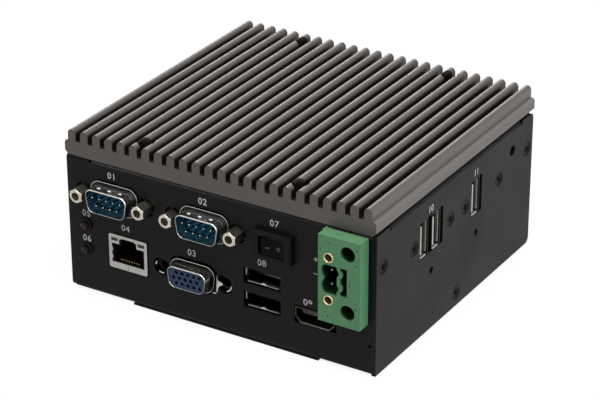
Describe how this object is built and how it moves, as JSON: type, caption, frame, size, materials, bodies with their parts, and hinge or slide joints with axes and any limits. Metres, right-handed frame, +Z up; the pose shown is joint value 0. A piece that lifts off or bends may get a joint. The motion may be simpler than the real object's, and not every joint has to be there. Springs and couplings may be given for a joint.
{
  "type": "fanless industrial pc",
  "caption": "Compact fanless industrial computer: folded steel case under a finned heatsink lid, with serial, video, network, data and power ports in front and data ports in the right side.",
  "frame": {"origin": "centre of the resting face, on the underside of the bottom cover, midway between the side plates and between the front and rear walls of the case", "axes": "+Z up, -Y the direction the connector panel faces, +X towards the side plate with the data ports"},
  "size_m": [0.12, 0.1162, 0.0608],
  "materials": {
    "black_moulding": "matt",
    "black_screws": "satin",
    "board_green": "gloss",
    "brass_hardware": "satin",
    "capacitor_can": "satin",
    "cell_metal": "satin",
    "chip_black": "matt",
    "drive_metal": "satin",
    "gold_contacts": "satin",
    "heatsink_anodised": "satin",
    "light_pipe": "gloss",
    "machined_block": "satin",
    "nickel_shell": "satin",
    "red_lens": "gloss",
    "rocker_black": "satin",
    "serial_blue": "matt",
    "sheet_coating": "satin",
    "side_coating": "satin",
    "smoke_lens": "gloss",
    "terminal_green": "satin",
    "thermal_pad_grey": "matt",
    "tin_can": "satin",
    "video_blue": "matt",
    "zinc_hardware": "satin"
  },
  "bodies": {
    "case": {"board_chips": "chip_black", "board_screws": "zinc_hardware", "board_stacker": "black_moulding", "bottom_cover": "sheet_coating", "bottom_cover_nuts": "zinc_hardware", "bottom_cover_screws": "black_screws", "capacitors": "capacitor_can", "chassis_tray": "sheet_coating", "clinch_nuts": "zinc_hardware", "coin_cell": "cell_metal", "coin_cell_holder": "black_moulding", "drive_light": "red_lens", "drive_screws": "zinc_hardware", "front_port_can": "tin_can", "front_port_tongues": "black_moulding", "heat_block": "machined_block", "heat_block_screws": "zinc_hardware", "heatsink": "heatsink_anodised", "heatsink_screws": "black_screws", "inductors": "chip_black", "mainboard": "board_green", "mainboard_posts": "brass_hardware", "memory_module": "board_green", "memory_socket": "black_moulding", "network_jack_body": "black_moulding", "network_jack_can": "tin_can", "network_jack_contacts": "gold_contacts", "network_jack_lights": "light_pipe", "power_terminal": "terminal_green", "processor": "chip_black", "screen_port_can": "tin_can", "screen_port_tongue": "black_moulding", "serial_jackscrews": "nickel_shell", "serial_port_one_insulator": "serial_blue", "serial_port_one_pins": "gold_contacts", "serial_port_one_shell": "nickel_shell", "serial_port_two_insulator": "serial_blue", "serial_port_two_pins": "gold_contacts", "serial_port_two_shell": "nickel_shell", "side_plate_left": "side_coating", "side_plate_right": "side_coating", "side_port_board": "board_green", "side_port_cans": "tin_can", "side_port_spacers": "brass_hardware", "side_port_tongues": "black_moulding", "side_screws_left": "black_screws", "side_screws_right": "black_screws", "status_light_rings": "black_moulding", "storage_drive": "drive_metal", "switch_blades": "gold_contacts", "switch_body": "black_moulding", "system_light": "smoke_lens", "terminal_inserts": "brass_hardware", "terminal_pins": "gold_contacts", "thermal_pads": "thermal_pad_grey", "upper_board": "board_green", "upper_board_posts": "brass_hardware", "video_port_insert": "video_blue", "video_port_shell": "nickel_shell"},
    "rocker": {"power_rocker": "rocker_black"}
  },
  "joints": [
    {"name": "rocker_hinge", "type": "hinge", "parent": "case", "child": "rocker", "pos_m": [0.0222, -0.0538, 0.0384], "axis": [0, 0, 1], "range_deg": [-24, 0]}
  ]
}
